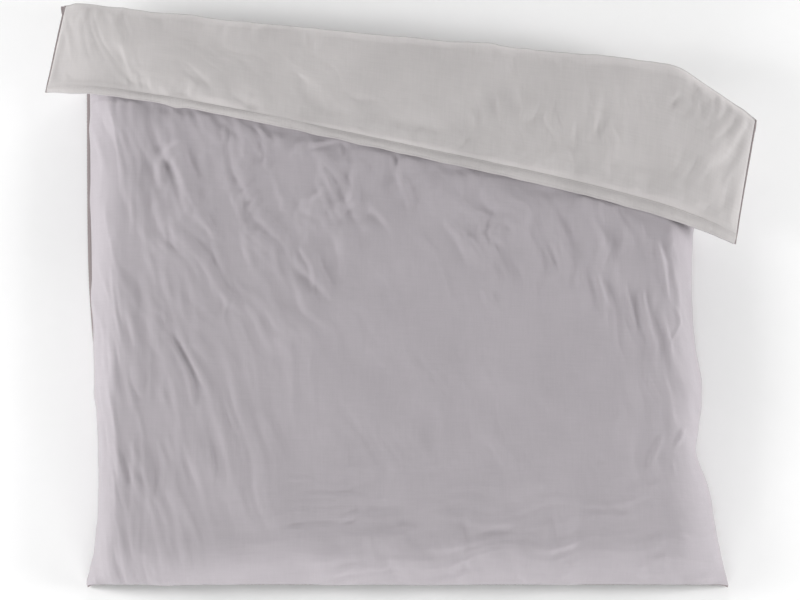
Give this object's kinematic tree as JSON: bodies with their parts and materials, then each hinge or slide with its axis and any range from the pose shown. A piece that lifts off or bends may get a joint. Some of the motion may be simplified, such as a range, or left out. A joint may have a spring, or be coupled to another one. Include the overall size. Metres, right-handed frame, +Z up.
{
  "type": "duvet on a bed",
  "caption": "Square padded duvet in a fabric cover, draped over a mattress with its head end turned back in a slanted fold that shows the paler reverse side.",
  "frame": {"origin": "centre of the bounding box, on the level of the lowest seam of the drape", "axes": "+X across the duvet to the right as seen from the foot, +Y from the foot to the turned-back head end, +Z up"},
  "size_m": [2.0232, 1.6502, 0.2176],
  "materials": {
    "face_cloth": "matte plain-weave cotton, dusty mauve",
    "reverse_cloth": "matte plain-weave cotton, warm light grey",
    "seam_cloth": "folded and stitched seam allowance, taupe grey",
    "ticking": "white downproof cotton",
    "filling": "loose white fibre filling",
    "stud": "moulded snap stud",
    "tape": "woven cotton tape"
  },
  "bodies": {
    "duvet_main": {"box_walls_main": "ticking", "corner_tie_foot_left": "tape", "corner_tie_foot_right": "tape", "cover_face_main": "face_cloth", "cover_fold_turn": "reverse_cloth", "cover_reverse_main": "reverse_cloth", "fill_box_main_1_1": "filling", "fill_box_main_1_2": "filling", "fill_box_main_1_3": "filling", "fill_box_main_1_4": "filling", "fill_box_main_1_5": "filling", "fill_box_main_2_1": "filling", "fill_box_main_2_2": "filling", "fill_box_main_2_3": "filling", "fill_box_main_2_4": "filling", "fill_box_main_2_5": "filling", "fill_box_main_3_1": "filling", "fill_box_main_3_2": "filling", "fill_box_main_3_3": "filling", "fill_box_main_3_4": "filling", "fill_box_main_3_5": "filling", "fill_box_main_4_1": "filling", "fill_box_main_4_2": "filling", "fill_box_main_4_3": "filling", "fill_box_main_4_4": "filling", "fill_box_main_4_5": "filling", "foot_seam": "seam_cloth", "side_seam_main_left": "seam_cloth", "side_seam_main_right": "seam_cloth", "ticking_face_main": "ticking", "ticking_reverse_main": "ticking"},
    "turned_back_flap": {"box_walls_flap": "ticking", "corner_tie_head_left": "tape", "corner_tie_head_right": "tape", "cover_face_flap": "face_cloth", "cover_reverse_flap": "reverse_cloth", "fill_box_flap_1_1": "filling", "fill_box_flap_1_2": "filling", "fill_box_flap_1_3": "filling", "fill_box_flap_1_4": "filling", "fill_box_flap_1_5": "filling", "hem_face": "face_cloth", "hem_reverse": "reverse_cloth", "side_seam_flap_left": "seam_cloth", "side_seam_flap_right": "seam_cloth", "stud_cap_1": "stud", "stud_cap_2": "stud", "stud_cap_3": "stud", "stud_cap_4": "stud", "stud_cap_5": "stud", "stud_cap_6": "stud", "stud_socket_1": "stud", "stud_socket_2": "stud", "stud_socket_3": "stud", "stud_socket_4": "stud", "stud_socket_5": "stud", "stud_socket_6": "stud", "ticking_face_flap": "ticking", "ticking_reverse_flap": "ticking"}
  },
  "joints": [
    {"name": "turn_back_fold", "type": "hinge", "parent": "duvet_main", "child": "turned_back_flap", "pos_m": [-0.01876, 0.7323, 0.18033], "axis": [-0.9952, 0.0976, 0], "range_deg": [0, 180], "deforming": ["cover_fold_turn"]}
  ]
}
